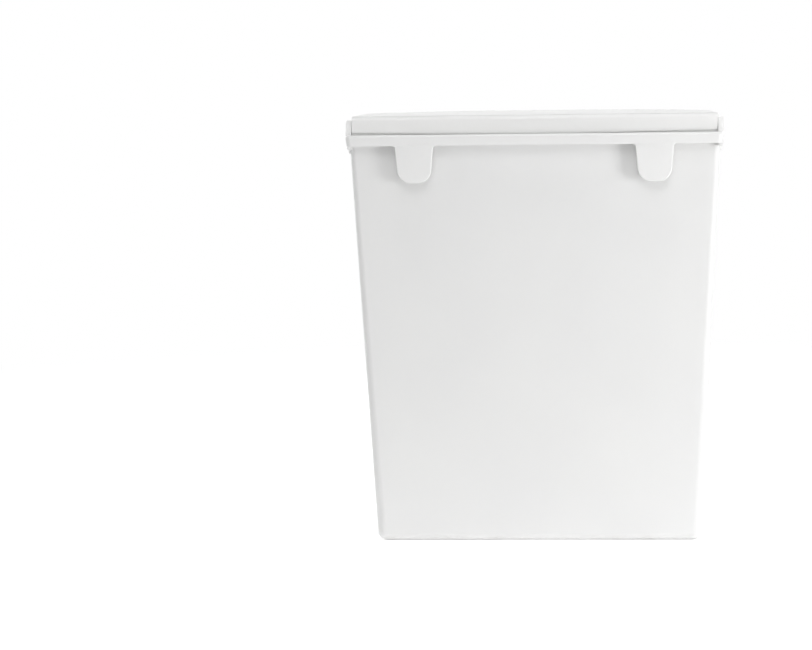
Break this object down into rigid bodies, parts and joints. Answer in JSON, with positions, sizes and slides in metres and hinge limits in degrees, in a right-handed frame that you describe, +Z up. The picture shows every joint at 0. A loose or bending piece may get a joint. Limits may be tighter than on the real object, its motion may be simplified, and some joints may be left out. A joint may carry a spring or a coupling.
{
  "type": "lidded hanging kitchen bin",
  "caption": "Slim tapered kitchen container with a flat back, a bowed front, a hinged lid and rear tongues that hang it from a rail or door.",
  "frame": {"origin": "on the floor plane, below the middle of the whole object's box", "axes": "+Z up; the flat back with its hanging tongues looks to +Y; the bowed front looks to -Y; +X runs along the width"},
  "size_m": [0.2562, 0.1172, 0.3],
  "materials": {
    "container_plastic": "satin, injection-moulded polypropylene",
    "lid_plastic": "smooth, slightly glossier moulded polypropylene",
    "pin_plastic": "smooth moulded acetal"
  },
  "bodies": {
    "bin": {"bin_body": "container_plastic"},
    "lid": {"lid": "lid_plastic", "left_hinge_pin": "pin_plastic", "right_hinge_pin": "pin_plastic"}
  },
  "joints": [
    {"name": "lid_hinge", "type": "hinge", "parent": "bin", "child": "lid", "pos_m": [0, 0.0451, 0.2904], "axis": [-1, 0, 0], "range_deg": [0, 170]}
  ]
}
